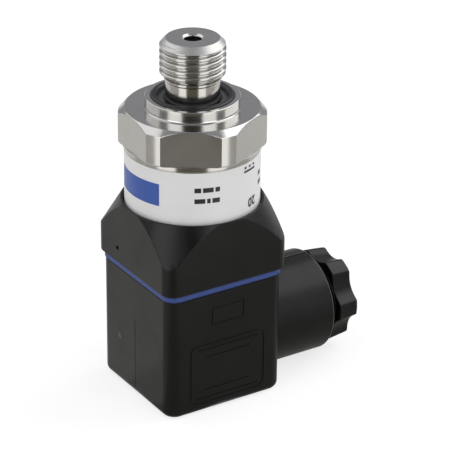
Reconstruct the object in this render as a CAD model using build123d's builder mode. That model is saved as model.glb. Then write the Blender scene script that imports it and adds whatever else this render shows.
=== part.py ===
from build123d import *
import os
from math import cos, radians, sin

# Pressure sensor with a G 1/4 stud and an angular cable plug, in millimetres.
# Frame: origin at the centre of the plug's end face, on which the sensor stands,
# +Z along the sensor's axis to the stud, +X along the cable gland.

# Plug housing
plug_height = 26.3
plug_corner_radius = 2.8
plug_edge_radius = 1.5
plug_wall = 1.7
plug_room = 4.55
floor_thickness = 3.0
wiring_height = 12.8
insert_ledge = 0.8

# Moulded panel on the plug's side
panel_width = 17.8
panel_height = 13.6
panel_corner_radius = 1.8
panel_bottom = 2.1
groove_width = 0.45
groove_depth = 0.15
panel_rule_width = 14.6
panel_rule_inset = 1.3
window_rule_width = 10.4
window_rule_inset = 3.1
mark_width = 7.8
mark_height = 4.0
mark_bottom = 19.4

# Fixing screw, M3, and its hole through the plug
screw_radius = 1.5
screw_head_radius = 2.8
screw_head_height = 2.2
screw_slot_width = 0.8
screw_slot_depth = 1.1
screw_recess_radius = 3.3
screw_recess_depth = 4.0
screw_engagement = 5.0
screw_boss_radius = 5.2
screw_boss_height = 4.0
screw_seal_thickness = 0.8
screw_clearance = 0.15

# Cable gland, M16 x 1.5
gland_axis_height = 10.9
gland_radius = 10.8
gland_reach = 28.4
gland_rim_radius = 0.5
gland_thread_radius = 8.0
gland_passage_wall = 2.15
seal_seat_radius = 6.9
seal_seat_depth = 6.3
cable_passage_radius = 4.8
cable_seal_bore_radius = 4.1
cable_seal_proud = 1.0
cable_seal_cone = 0.8

# Gland nut, shown backed out of the housing, and the thrust washer before it
nut_gap = 2.2
nut_turn_in = 2.0
nut_lobes = 6
nut_lobe_radius = 9.8
nut_valley_radius = 8.3
nut_scallop_radius = 6.0
nut_clocking = 150.5
nut_lobe_rounding = 0.8
nut_head_length = 4.7
nut_head_draft = 6.0
nut_head_rounding = 0.4
nut_bore_radius = 5.2
nut_mouth_chamfer = 0.8
nut_nose_chamfer = 0.6
washer_thickness = 1.0
washer_radius = 7.0
washer_bore_radius = 4.9

# Profile gasket between plug and sensor
gasket_proud = 0.15
gasket_thickness = 1.8
gasket_edge_rounding = 0.5

# Connector base: square below, turned to a cone above, with the case tube in its mouth
base_proud = 0.7
base_height = 13.6
base_corner_radius = 2.8
base_cone_radius = 14.4
base_cone_drop = 7.5
base_cone_spread = 4.5
base_floor = 4.8
base_mouth_radius = 13.95
base_mouth_depth = 3.2
spigot_height = 12.5
spigot_wall = 2.05
o_ring_groove_height = 5.2
o_ring_groove_width = 1.6
o_ring_groove_depth = 1.15
insert_boss_radius = 4.6
insert_boss_height = 2.6
vent_radius = 0.45
vent_depth = 1.5
vent_side = 5.5
vent_height = 3.2

# Blades, their socket contacts and the block that holds the contacts
blade_count = 4
blade_circle_radius = 9.0
blade_width = 6.3
blade_thickness = 0.8
blade_reach = 8.6
blade_root = 2.0
blade_tip_chamfer = 0.7
tail_width = 2.0
tail_proud = 0.6
insert_setback = 0.1
insert_skin = 1.2
pocket_width = 7.6
pocket_depth = 3.9
mouth_width = 7.0
mouth_depth = 1.4
contact_width = 7.0
contact_depth = 3.4
contact_block_height = 3.5
contact_leaf = 0.5
contact_skin_gap = 0.2
terminal_screw_radius = 1.25
terminal_screw_length = 2.8
terminal_head_radius = 1.9
terminal_head_height = 1.8
terminal_slot_width = 0.6
terminal_slot_depth = 0.7

# Threaded insert in the base
bush_radius = 2.6
bush_length = 6.0
bush_waist_depth = 0.4
bush_waist_length = 1.6

# Case tube and its wrapped label
tube_radius = 13.5
tube_wall = 0.6
tube_seat_depth = 7.1
tube_shown = 11.2
label_thickness = 0.12
label_top_margin = 0.25
label_lap = 2.8

# Process connection: shoulder, hexagon, sealing collar and threaded stud
shoulder_radius = 13.78
shoulder_height = 0.9
hex_across_flats = 27.0
hex_bar_radius = 14.75
hex_height = 7.5
hex_top_radius = 13.4
hex_top_chamfer = 1.25
hex_bottom_chamfer = 0.3
hex_clocking = -3.0
collar_radius = 9.45
collar_height = 2.3
collar_chamfer = 0.1
collar_fillet = 0.35
thread_radius = 6.5785
stud_length = 12.0
stud_chamfer = 1.25
neck_radius = 5.45
neck_length = 4.25
neck_bead_height = 0.4
neck_bead_radius = 5.6
neck_bead_drop = 0.25
thread_runout = 0.55
port_radius = 1.75
port_chamfer = 0.4
connection_spigot_length = 2.7
cell_space_radius = 11.2
cell_space_height = 4.8
cell_seat_radius = 7.0
cell_seat_depth = 2.0

# Profile seal in the collar's groove
seal_groove_radius = 8.4
seal_groove_depth = 1.5
seal_inner_radius = 5.9
seal_inner_height = 0.85
seal_bead_start = 7.3
seal_bead_proud = 0.4
seal_bead_edge = 0.15
seal_bead_lean = 0.1

# Measuring cell, its bridge and the electronics
cell_flange_height = 1.0
cell_radius = 5.0
cell_height = 5.5
cell_chamber_radius = 2.5
diaphragm_thickness = 0.6
bridge_radius = 3.0
bridge_thickness = 0.15
wire_count = 4
wire_circle_radius = 2.0
wire_radius = 0.2
board_radius = 12.4
board_thickness = 1.0
chip_size = 5.0
chip_height = 1.1
chip_offset = 5.0
capacitor_length = 1.8
capacitor_width = 1.0
capacitor_height = 0.9
capacitor_pitch = 2.0
capacitor_gap = 0.4
capacitor_columns = 3
capacitor_rows = 2

# Clearances
slip_fit = 0.03
loose_fit = 0.1

# Levels along the sensor's axis, from the plug's end face up
insert_level = floor_thickness + wiring_height
insert_top = plug_height - insert_setback
base_level = plug_height + gasket_thickness
base_top = base_level + base_height
tube_level = base_top - tube_seat_depth
spigot_top = base_level + base_floor + spigot_height
board_top = spigot_top + board_thickness
shoulder_level = base_top + tube_shown
hex_level = shoulder_level + shoulder_height
hex_top = hex_level + hex_height
collar_top = hex_top + collar_height
stud_top = collar_top + stud_length
groove_level = collar_top - seal_groove_depth
neck_top = collar_top + neck_length
neck_bead_level = neck_top - neck_bead_drop - neck_bead_height
thread_level = neck_top + thread_runout
spigot_end = shoulder_level - connection_spigot_length
cell_space_top = spigot_end + cell_space_height
cell_seat_top = cell_space_top + cell_seat_depth
diaphragm_level = cell_seat_top - cell_height
bridge_level = diaphragm_level - bridge_thickness

# Radii and widths that follow from what they fit; the plug leaves its room outside the blades' circle
plug_width = 2 * (blade_circle_radius + plug_room)
gasket_width = plug_width + 2 * gasket_proud
base_width = plug_width + 2 * base_proud
tube_bore_radius = tube_radius - tube_wall
label_radius = tube_radius + label_thickness
cavity_width = plug_width - 2 * plug_wall
cavity_corner_radius = plug_corner_radius - plug_wall / 2
chamber_width = cavity_width - 2 * insert_ledge
spigot_radius = tube_bore_radius - slip_fit
spigot_bore_radius = spigot_radius - spigot_wall
blade_tip_level = base_level - blade_reach
contact_top = insert_top - insert_skin - contact_skin_gap

# Stations along the gland's axis, from the sensor's axis out
seal_station = chamber_width / 2 + gland_passage_wall
seat_station = seal_station + seal_seat_depth
seal_end = seat_station + cable_seal_proud
washer_station = seal_end + nut_turn_in + loose_fit
nut_station = washer_station + washer_thickness + slip_fit
nut_head_station = gland_reach + nut_gap
nut_end = nut_head_station + nut_head_length

blade_angles = [360 / blade_count * k for k in range(blade_count)]
contact_names = ["socket_contact_1", "socket_contact_2", "ground_contact", "socket_contact_3"]
blade_names = ["blade_1", "blade_2", "ground_blade", "blade_3"]


def gland_plane(station):
    """A plane across the gland's axis; its local x is +Y and its local y is +Z."""
    return Plane(origin=(station, 0, gland_axis_height), x_dir=(0, 1, 0), z_dir=(1, 0, 0))


def blade_plane(angle, level):
    """A level plane whose local x points out through the blade at that angle."""
    return Plane.XY.rotated((0, 0, angle)).offset(level)


def blade_face_plane(angle):
    """An upright plane on a blade's inner face, looking out, with +Z as its local y."""
    out = (cos(radians(angle)), sin(radians(angle)), 0)
    inner = blade_circle_radius - blade_thickness / 2
    across = (-out[1], out[0], 0)
    return Plane(origin=(out[0] * inner, out[1] * inner, 0), x_dir=across, z_dir=out)


# Plug housing: a square cup with the gland tube on one side
with BuildPart() as plug_housing:
    with BuildSketch():
        RectangleRounded(plug_width, plug_width, plug_corner_radius)
    extrude(amount=plug_height)
    fillet(plug_housing.faces().sort_by(Axis.Z)[0].edges(), plug_edge_radius)
    with BuildSketch(gland_plane(plug_width / 2 - plug_wall)):
        Circle(gland_radius)
    extrude(amount=gland_reach - plug_width / 2 + plug_wall)
    fillet(plug_housing.faces().sort_by(Axis.X)[-1].edges(), gland_rim_radius)
    with BuildSketch(Plane.XY.offset(insert_level)):
        RectangleRounded(cavity_width, cavity_width, cavity_corner_radius)
    extrude(amount=plug_height - insert_level, mode=Mode.SUBTRACT)
    with BuildSketch(Plane.XY.offset(floor_thickness)):
        RectangleRounded(chamber_width, chamber_width, cavity_corner_radius)
    extrude(amount=wiring_height, mode=Mode.SUBTRACT)
    with BuildSketch(Plane.XY.offset(floor_thickness)):
        Circle(screw_boss_radius)
    extrude(amount=screw_boss_height)
    with Locations(Plane.XY.rotated((180, 0, 0))):
        CounterBoreHole(
            radius=screw_radius + screw_clearance,
            counter_bore_radius=screw_recess_radius,
            counter_bore_depth=screw_recess_depth,
            depth=floor_thickness + screw_boss_height,
        )
    with BuildSketch(gland_plane(chamber_width / 2 - insert_ledge)):
        Circle(cable_passage_radius)
    extrude(amount=gland_passage_wall + insert_ledge, mode=Mode.SUBTRACT)
    with BuildSketch(gland_plane(seal_station)):
        Circle(seal_seat_radius)
    extrude(amount=seal_seat_depth, mode=Mode.SUBTRACT)
    with BuildSketch(gland_plane(seat_station)):
        Circle(gland_thread_radius + slip_fit)
    extrude(amount=gland_reach - seat_station, mode=Mode.SUBTRACT)
    # Panel with a grooved outline, two pairs of rules and a small frame above it
    with BuildSketch(Plane.XZ.offset(plug_width / 2)):
        with Locations((0, panel_bottom + panel_height / 2)):
            RectangleRounded(panel_width, panel_height, panel_corner_radius)
            RectangleRounded(
                panel_width - 2 * groove_width,
                panel_height - 2 * groove_width,
                panel_corner_radius - groove_width,
                mode=Mode.SUBTRACT,
            )
        for rule_width, rule_inset in (
            (panel_rule_width, panel_rule_inset),
            (window_rule_width, window_rule_inset),
        ):
            with Locations(
                (0, panel_bottom + rule_inset),
                (0, panel_bottom + panel_height - rule_inset),
            ):
                Rectangle(rule_width, groove_width)
        with Locations((0, mark_bottom + mark_height / 2)):
            Rectangle(mark_width, mark_height)
            Rectangle(
                mark_width - 2 * groove_width, mark_height - 2 * groove_width, mode=Mode.SUBTRACT
            )
    extrude(amount=-groove_depth, mode=Mode.SUBTRACT)

# Contact insert: the block that holds the four socket contacts
with BuildPart() as contact_insert:
    insert_width = cavity_width - 2 * loose_fit
    with BuildSketch(Plane.XY.offset(insert_level)):
        RectangleRounded(insert_width, insert_width, cavity_corner_radius)
        Circle(screw_radius + 2 * screw_clearance, mode=Mode.SUBTRACT)
    extrude(amount=insert_top - insert_level)
    with BuildSketch(Plane.XY.offset(insert_level)):
        with PolarLocations(blade_circle_radius, blade_count):
            Rectangle(pocket_depth, pocket_width)
    extrude(amount=insert_top - insert_level - insert_skin, mode=Mode.SUBTRACT)
    with BuildSketch(Plane.XY.offset(insert_top)):
        with PolarLocations(blade_circle_radius, blade_count):
            Rectangle(mouth_depth, mouth_width)
    extrude(amount=-insert_skin, mode=Mode.SUBTRACT)


def make_socket_contact(angle):
    """A brass terminal block with two spring leaves that grip a blade between them."""
    leaf_offset = blade_thickness / 2 + slip_fit + contact_leaf / 2
    leaf_height = contact_top - insert_level - contact_block_height
    with BuildPart() as contact:
        with BuildSketch(blade_plane(angle, insert_level)):
            with Locations((blade_circle_radius, 0)):
                Rectangle(contact_depth, contact_width)
                Circle(terminal_screw_radius + slip_fit, mode=Mode.SUBTRACT)
        extrude(amount=contact_block_height)
        with BuildSketch(blade_plane(angle, insert_level + contact_block_height)):
            with Locations(
                (blade_circle_radius - leaf_offset, 0), (blade_circle_radius + leaf_offset, 0)
            ):
                Rectangle(contact_leaf, contact_width)
        extrude(amount=leaf_height)
    return contact.part


def make_terminal_screw(angle):
    """A slotted clamp screw, put into a contact's block from the wiring chamber."""
    with BuildPart() as screw:
        with BuildSketch(blade_plane(angle, insert_level)):
            with Locations((blade_circle_radius, 0)):
                Circle(terminal_screw_radius)
        extrude(amount=terminal_screw_length)
        with BuildSketch(blade_plane(angle, insert_level)):
            with Locations((blade_circle_radius, 0)):
                Circle(terminal_head_radius)
        extrude(amount=-terminal_head_height)
        with BuildSketch(blade_plane(angle, insert_level - terminal_head_height)):
            with Locations((blade_circle_radius, 0)):
                Rectangle(terminal_slot_width, 2 * terminal_head_radius)
        extrude(amount=terminal_slot_depth, mode=Mode.SUBTRACT)
    return screw.part


def make_blade(angle):
    """A flat blade that narrows inside the base to a tail for the circuit board."""
    root_level = base_level + blade_root
    tail_top = board_top + tail_proud
    with BuildPart() as blade:
        with BuildSketch(blade_face_plane(angle)):
            with Locations((0, (blade_tip_level + root_level) / 2)):
                tongue = Rectangle(blade_width, root_level - blade_tip_level)
            chamfer(tongue.vertices().group_by(Axis.Y)[0], blade_tip_chamfer)
            with Locations((0, (root_level + tail_top) / 2)):
                Rectangle(tail_width, tail_top - root_level)
        extrude(amount=blade_thickness)
    return blade.part


socket_contacts = [make_socket_contact(angle) for angle in blade_angles]
blades = [make_blade(angle) for angle in blade_angles]
terminal_screws = Compound(children=[make_terminal_screw(angle) for angle in blade_angles])

# Fixing screw through plug, gasket and base
with BuildPart() as fixing_screw:
    head_level = screw_recess_depth - screw_seal_thickness
    with BuildSketch(Plane.XY.offset(head_level)):
        Circle(screw_head_radius)
    extrude(amount=-screw_head_height)
    with BuildSketch(Plane.XY.offset(head_level)):
        Circle(screw_radius)
    extrude(amount=base_level + screw_engagement - head_level)
    with BuildSketch(Plane.XY.offset(head_level - screw_head_height)):
        Rectangle(2 * screw_head_radius, screw_slot_width)
        Rectangle(screw_slot_width, screw_head_radius)
    extrude(amount=screw_slot_depth, mode=Mode.SUBTRACT)

# Sealing washer under the screw's head
with BuildPart() as screw_seal:
    with BuildSketch(Plane.XY.offset(screw_recess_depth - screw_seal_thickness)):
        Circle(screw_head_radius)
        Circle(screw_radius + slip_fit, mode=Mode.SUBTRACT)
    extrude(amount=screw_seal_thickness)

# Rubber seal that closes on the cable
with BuildPart() as cable_seal:
    seal_outer = seal_seat_radius - slip_fit
    with BuildSketch(gland_plane(seal_station)):
        Circle(seal_outer)
        Circle(cable_seal_bore_radius, mode=Mode.SUBTRACT)
    extrude(amount=seal_end - seal_station)
    chamfer(
        cable_seal.edges().filter_by(GeomType.CIRCLE).group_by(Axis.X)[-1].sort_by(SortBy.RADIUS)[-1],
        cable_seal_cone,
    )

# Thrust washer that the nut pushes against the seal
with BuildPart() as thrust_washer:
    with BuildSketch(gland_plane(washer_station)):
        Circle(washer_radius)
        Circle(washer_bore_radius, mode=Mode.SUBTRACT)
    extrude(amount=washer_thickness)

# Gland nut: a hollow screw with a scalloped head that narrows towards its end
with BuildPart() as gland_nut:
    with BuildSketch(gland_plane(nut_head_station)) as nut_outline:
        Circle(nut_lobe_radius)
        with PolarLocations(
            nut_valley_radius + nut_scallop_radius, nut_lobes, start_angle=nut_clocking
        ):
            Circle(nut_scallop_radius, mode=Mode.SUBTRACT)
        fillet(nut_outline.vertices(), nut_lobe_rounding)
    extrude(amount=nut_head_length, taper=nut_head_draft)
    fillet(gland_nut.faces().sort_by(Axis.X)[-1].edges(), nut_head_rounding)
    with BuildSketch(gland_plane(nut_station)):
        Circle(gland_thread_radius - slip_fit)
    extrude(amount=nut_head_station - nut_station)
    chamfer(gland_nut.faces().sort_by(Axis.X)[0].edges(), nut_nose_chamfer)
    with BuildSketch(gland_plane(nut_station)):
        Circle(nut_bore_radius)
    extrude(amount=nut_end - nut_station, mode=Mode.SUBTRACT)
    mouth = gland_nut.faces().sort_by(Axis.X)[-1].edges().filter_by(lambda edge: edge.is_closed)
    chamfer(mouth, nut_mouth_chamfer)

# Profile gasket with windows for the blades and the screw
with BuildPart() as profile_gasket:
    with BuildSketch(Plane.XY.offset(plug_height)):
        RectangleRounded(gasket_width, gasket_width, plug_corner_radius)
        Circle(screw_radius + 2 * screw_clearance, mode=Mode.SUBTRACT)
        with PolarLocations(blade_circle_radius, blade_count):
            Rectangle(mouth_depth, mouth_width, mode=Mode.SUBTRACT)
    extrude(amount=gasket_thickness)
    for rim in profile_gasket.faces().filter_by(Axis.Z):
        fillet(rim.outer_wire().edges(), gasket_edge_rounding)

# Threaded insert, moulded into the base, with a waist that keeps it in
with BuildPart() as threaded_insert:
    waist_level = base_level + (bush_length - bush_waist_length) / 2
    with BuildSketch(Plane.XY.offset(base_level)):
        Circle(bush_radius)
        Circle(screw_radius + slip_fit, mode=Mode.SUBTRACT)
    extrude(amount=bush_length)
    with BuildSketch(Plane.XY.offset(waist_level)):
        Circle(bush_radius)
        Circle(bush_radius - bush_waist_depth, mode=Mode.SUBTRACT)
    extrude(amount=bush_waist_length, mode=Mode.SUBTRACT)

# Connector base: a rounded square cut back by a cone, with the tube's seat in its mouth
with BuildPart() as connector_base:
    floor_top = base_level + base_floor
    with BuildSketch(Plane.XY.offset(base_level)):
        RectangleRounded(base_width, base_width, base_corner_radius)
    extrude(amount=base_height)
    with BuildSketch(Plane.XZ):
        with BuildLine():
            Polyline(
                (0, base_level),
                (base_cone_radius + base_cone_spread * base_height / base_cone_drop, base_level),
                (base_cone_radius, base_top),
                (0, base_top),
                close=True,
            )
        make_face()
    revolve(axis=Axis.Z, mode=Mode.INTERSECT)
    with BuildSketch(Plane.XY.offset(base_top - base_mouth_depth)):
        Circle(base_mouth_radius)
    extrude(amount=base_mouth_depth, mode=Mode.SUBTRACT)
    with BuildSketch(Plane.XY.offset(tube_level)):
        Circle(tube_radius + slip_fit)
    extrude(amount=tube_seat_depth - base_mouth_depth, mode=Mode.SUBTRACT)
    with BuildSketch(Plane.XY.offset(floor_top)):
        Circle(spigot_bore_radius)
    extrude(amount=tube_level - floor_top, mode=Mode.SUBTRACT)
    with BuildSketch(Plane.XY.offset(tube_level)):
        Circle(spigot_radius)
        Circle(spigot_bore_radius, mode=Mode.SUBTRACT)
    extrude(amount=spigot_top - tube_level)
    with BuildSketch(Plane.XY.offset(floor_top + o_ring_groove_height)):
        Circle(spigot_radius)
        Circle(spigot_radius - o_ring_groove_depth, mode=Mode.SUBTRACT)
    extrude(amount=o_ring_groove_width, mode=Mode.SUBTRACT)
    with BuildSketch(Plane.XY.offset(floor_top)):
        Circle(insert_boss_radius)
    extrude(amount=insert_boss_height)
    with BuildSketch(Plane.XY.offset(base_level)):
        Circle(screw_radius + slip_fit)
    extrude(amount=bush_length, mode=Mode.SUBTRACT)
    add(threaded_insert.part, mode=Mode.SUBTRACT)
    add(blades, mode=Mode.SUBTRACT)
    with BuildSketch(Plane.YZ.offset(-base_width / 2)):
        with Locations((vent_side, base_level + vent_height)):
            Circle(vent_radius)
    extrude(amount=vent_depth, mode=Mode.SUBTRACT)

# O-ring between the base's spigot and the case tube
with BuildPart() as o_ring:
    groove_floor = spigot_radius - o_ring_groove_depth
    cord_radius = (tube_bore_radius - groove_floor) / 2 - slip_fit
    cord_level = base_level + base_floor + o_ring_groove_height + o_ring_groove_width / 2
    with BuildSketch(Plane.XZ):
        with Locations(((tube_bore_radius + groove_floor) / 2, cord_level)):
            Circle(cord_radius)
    revolve(axis=Axis.Z)

# Case tube
with BuildPart() as case_tube:
    with BuildSketch(Plane.XY.offset(tube_level)):
        Circle(tube_radius)
        Circle(tube_bore_radius, mode=Mode.SUBTRACT)
    extrude(amount=shoulder_level - tube_level)

# Label wrapped round the tube, its lower edge inside the base's mouth
with BuildPart() as label:
    label_level = base_top - label_lap
    with BuildSketch(Plane.XY.offset(label_level)):
        Circle(label_radius)
        Circle(tube_radius, mode=Mode.SUBTRACT)
    extrude(amount=shoulder_level - label_top_margin - label_level)

# Process connection: one turned piece with flats, collar groove and bored stud
with BuildPart() as process_connection:
    with BuildSketch(Plane.XZ) as connection_profile:
        with BuildLine():
            Polyline(
                (cell_space_radius, spigot_end),
                (tube_bore_radius - slip_fit, spigot_end),
                (tube_bore_radius - slip_fit, shoulder_level),
                (shoulder_radius, shoulder_level),
                (shoulder_radius, hex_level),
                (hex_bar_radius - hex_bottom_chamfer, hex_level),
                (hex_bar_radius, hex_level + hex_bottom_chamfer),
                (hex_bar_radius, hex_top - hex_top_chamfer),
                (hex_top_radius, hex_top),
                (collar_radius, hex_top),
                (collar_radius, collar_top - collar_chamfer),
                (collar_radius - collar_chamfer, collar_top),
                (seal_groove_radius, collar_top),
                (seal_groove_radius, groove_level),
                (neck_radius, groove_level),
                (neck_radius, neck_bead_level),
                (neck_bead_radius, neck_bead_level + neck_bead_height / 3),
                (neck_bead_radius, neck_bead_level + neck_bead_height * 2 / 3),
                (neck_radius, neck_bead_level + neck_bead_height),
                (neck_radius, neck_top),
                (thread_radius, thread_level),
                (thread_radius, stud_top - stud_chamfer),
                (thread_radius - stud_chamfer, stud_top),
                (port_radius + port_chamfer, stud_top),
                (port_radius, stud_top - port_chamfer),
                (port_radius, cell_seat_top),
                (cell_seat_radius, cell_seat_top),
                (cell_seat_radius, cell_space_top),
                (cell_space_radius, cell_space_top),
                close=True,
            )
        make_face()
        collar_foot = connection_profile.vertices().sort_by_distance((collar_radius, hex_top))[0]
        fillet(collar_foot, collar_fillet)
    revolve(axis=Axis.Z)
    with BuildSketch(Plane.XY.offset(hex_level)):
        Circle(2 * hex_bar_radius)
        RegularPolygon(
            hex_across_flats / 2, 6, major_radius=False, rotation=hex_clocking + 30, mode=Mode.SUBTRACT
        )
    extrude(amount=hex_height, mode=Mode.SUBTRACT)

# Profile seal: a flat ring with a raised bead along its outer edge
with BuildPart() as profile_seal:
    seal_radius = seal_groove_radius - slip_fit
    bead_top = collar_top + seal_bead_proud
    with BuildSketch(Plane.XZ):
        with BuildLine():
            flat_end = (seal_bead_start, groove_level + seal_inner_height)
            bead_crest = ((seal_bead_start + seal_radius) / 2 + seal_bead_lean, bead_top)
            bead_end = (seal_radius, collar_top - seal_bead_edge)
            Polyline(
                flat_end,
                (seal_inner_radius, groove_level + seal_inner_height),
                (seal_inner_radius, groove_level),
                (seal_radius, groove_level),
                bead_end,
            )
            ThreePointArc(bead_end, bead_crest, flat_end)
        make_face()
    revolve(axis=Axis.Z)

# Measuring cell: a steel cup whose floor is the diaphragm
with BuildPart() as measuring_cell:
    with BuildSketch(Plane.XY.offset(cell_seat_top)):
        Circle(cell_seat_radius - slip_fit)
    extrude(amount=-cell_flange_height)
    with BuildSketch(Plane.XY.offset(cell_seat_top)):
        Circle(cell_radius)
    extrude(amount=-cell_height)
    with BuildSketch(Plane.XY.offset(cell_seat_top)):
        Circle(cell_chamber_radius)
    extrude(amount=diaphragm_thickness - cell_height, mode=Mode.SUBTRACT)

# Strain bridge on the diaphragm
with BuildPart() as strain_bridge:
    with BuildSketch(Plane.XY.offset(bridge_level)):
        Circle(bridge_radius)
    extrude(amount=bridge_thickness)

# Circuit board on the spigot's rim, with slots for the blades' tails
with BuildPart() as circuit_board:
    with BuildSketch(Plane.XY.offset(spigot_top)):
        Circle(board_radius)
        with PolarLocations(blade_circle_radius, blade_count):
            Rectangle(
                blade_thickness + 2 * loose_fit, tail_width + 2 * loose_fit, mode=Mode.SUBTRACT
            )
    extrude(amount=board_thickness)

# Signal chip
with BuildPart() as signal_chip:
    with BuildSketch(Plane.XY.offset(board_top)):
        with Locations((chip_offset, chip_offset)):
            Rectangle(chip_size, chip_size)
    extrude(amount=chip_height)

# Capacitors beside the chip, in a row on the board
with BuildPart() as capacitors:
    with BuildSketch(Plane.XY.offset(board_top)):
        with Locations((-chip_offset, -chip_offset)):
            with GridLocations(
                capacitor_pitch,
                capacitor_length + capacitor_gap,
                capacitor_columns,
                capacitor_rows,
            ):
                Rectangle(capacitor_width, capacitor_length)
    extrude(amount=capacitor_height)

# Wires from the board to the bridge
with BuildPart() as bridge_wires:
    with BuildSketch(Plane.XY.offset(board_top)):
        with PolarLocations(wire_circle_radius, wire_count):
            Circle(wire_radius)
    extrude(amount=bridge_level - board_top)

pieces = {
    "plug_housing": plug_housing.part,
    "contact_insert": contact_insert.part,
    "terminal_screws": terminal_screws,
    "fixing_screw": fixing_screw.part,
    "screw_seal": screw_seal.part,
    "cable_seal": cable_seal.part,
    "thrust_washer": thrust_washer.part,
    "gland_nut": gland_nut.part,
    "profile_gasket": profile_gasket.part,
    "threaded_insert": threaded_insert.part,
    "connector_base": connector_base.part,
    "o_ring": o_ring.part,
    "case_tube": case_tube.part,
    "label": label.part,
    "process_connection": process_connection.part,
    "profile_seal": profile_seal.part,
    "measuring_cell": measuring_cell.part,
    "strain_bridge": strain_bridge.part,
    "circuit_board": circuit_board.part,
    "signal_chip": signal_chip.part,
    "capacitors": capacitors.part,
    "bridge_wires": bridge_wires.part,
    **dict(zip(contact_names, socket_contacts)),
    **dict(zip(blade_names, blades)),
}

os.makedirs("parts", exist_ok=True)
for name, piece in pieces.items():
    piece.label = name
    export_step(piece, f"parts/{name}.step")
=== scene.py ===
from math import acos, atan2, cos, pi, radians, sin, sqrt, tan

import bmesh
import bpy
from mathutils import Matrix, Vector


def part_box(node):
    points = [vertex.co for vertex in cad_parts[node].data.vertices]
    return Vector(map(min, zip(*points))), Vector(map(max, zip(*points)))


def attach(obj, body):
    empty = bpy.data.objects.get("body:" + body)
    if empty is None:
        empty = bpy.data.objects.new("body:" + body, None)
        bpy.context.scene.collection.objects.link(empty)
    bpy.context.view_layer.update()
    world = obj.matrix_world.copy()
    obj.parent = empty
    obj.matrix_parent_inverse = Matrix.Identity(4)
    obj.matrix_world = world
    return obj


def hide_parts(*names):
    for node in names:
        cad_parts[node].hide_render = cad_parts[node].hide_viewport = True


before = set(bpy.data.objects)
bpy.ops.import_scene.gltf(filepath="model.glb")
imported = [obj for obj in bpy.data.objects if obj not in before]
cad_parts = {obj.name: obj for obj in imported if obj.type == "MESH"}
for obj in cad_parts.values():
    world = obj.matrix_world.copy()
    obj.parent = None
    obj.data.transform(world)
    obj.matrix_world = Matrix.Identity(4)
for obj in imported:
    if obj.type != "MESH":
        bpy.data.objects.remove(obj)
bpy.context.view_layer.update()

MM = 0.001

# Camera, as worked out from the edges of the object in the photograph
CAMERA_AZIMUTH = radians(-32.71)
CAMERA_ELEVATION = radians(25.90)
CAMERA_ROLL = radians(0.617)
CAMERA_DISTANCE = 473.3 * MM
CAMERA_AIM_HEIGHT = 34.94 * MM
CAMERA_AIM_SHIFT = 6.83 * MM
CAMERA_CLIP_START = 10 * MM
CAMERA_SENSOR = 36.0
CAMERA_LENS = 187.04

# Hexagon and the shoulder under it, on the sensor's axis
HEX_SIDES = 6
HEX_CLOCKING = radians(-3.0)
HEX_FLATS = 27.0 * MM
HEX_BAR_RADIUS = 14.75 * MM
HEX_TOP_RADIUS = 13.4 * MM
HEX_HEIGHT = 7.5 * MM
HEX_TOP_CHAMFER = 1.25 * MM
HEX_BOTTOM_CHAMFER = 0.3 * MM
HEX_EDGE_BREAK = 0.08 * MM
SHOULDER_RADIUS = 13.78 * MM
SHOULDER_HEIGHT = 0.9 * MM
SPIGOT_RADIUS = 12.87 * MM

# Collar with the seal's groove, on top of the hexagon
COLLAR_RADIUS = 9.45 * MM
COLLAR_HEIGHT = 2.3 * MM
COLLAR_CHAMFER = 0.1 * MM
COLLAR_FILLET = 0.35 * MM
COLLAR_FILLET_MIDDLE = 0.3 * COLLAR_FILLET
SEAL_GROOVE_RADIUS = 8.4 * MM
SEAL_GROOVE_DEPTH = 1.5 * MM

# Stud with its thread, and its neck with a bead between two fine grooves
STUD_LENGTH = 12.0 * MM
STUD_CHAMFER = 1.25 * MM
THREAD_RADIUS = 6.5785 * MM
THREAD_PITCH = 1.337 * MM
THREAD_DEPTH = 0.6 * MM
THREAD_CREST = 0.22
THREAD_ROOT = 0.05
THREAD_FADE = 0.6 * MM
THREAD_RUNOUT = 0.55 * MM
NECK_RADIUS = 5.45 * MM
NECK_LENGTH = 4.25 * MM
NECK_GROOVE_DEPTH = 0.45 * MM
NECK_BEAD_RADIUS = 5.7 * MM
NECK_BEAD_HEIGHT = 0.4 * MM
NECK_BEAD_DROP = 0.25 * MM
NECK_BEAD_GROOVE = 0.34 * MM

# Pressure port through the stud, and the space for the measuring cell
PORT_RADIUS = 1.75 * MM
PORT_CHAMFER = 0.4 * MM
CELL_SPACE_RADIUS = 11.2 * MM
CELL_SPACE_HEIGHT = 4.8 * MM
CELL_SEAT_RADIUS = 7.0 * MM
CELL_SEAT_DEPTH = 2.0 * MM

# Gland on the plug's side, and its nut
GLAND_HEIGHT = 10.9 * MM
GLAND_RADIUS = 10.8 * MM
GLAND_RIM_ROUNDING = 0.5 * MM
NUT_BORE_RADIUS = 5.2 * MM
NUT_THREAD_RADIUS = 7.97 * MM
NUT_THREAD_PITCH = 1.5 * MM
NUT_THREAD_DEPTH = 0.8 * MM
NUT_THREAD_CREST = 0.25
NUT_THREAD_ROOT = 0.2
NUT_THREAD_FADE = 0.3 * NUT_THREAD_PITCH
NUT_NOSE_CHAMFER = 0.6 * MM
NUT_MOUTH_CHAMFER = 0.8 * MM
NUT_HEAD_LENGTH = 4.7 * MM
NUT_LOBES = 6
NUT_CLOCKING = radians(150.5)
NUT_LOBE_RADIUS = 9.8 * MM
NUT_VALLEY_RADIUS = 8.3 * MM
NUT_SCALLOP_RADIUS = 6.0 * MM
NUT_SCALLOP_BLEND = 0.35 * MM
NUT_DRAFT = radians(6.0)
NUT_NEAR_ROUNDING = 0.25 * MM
NUT_FAR_ROUNDING = 0.4 * MM

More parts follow.
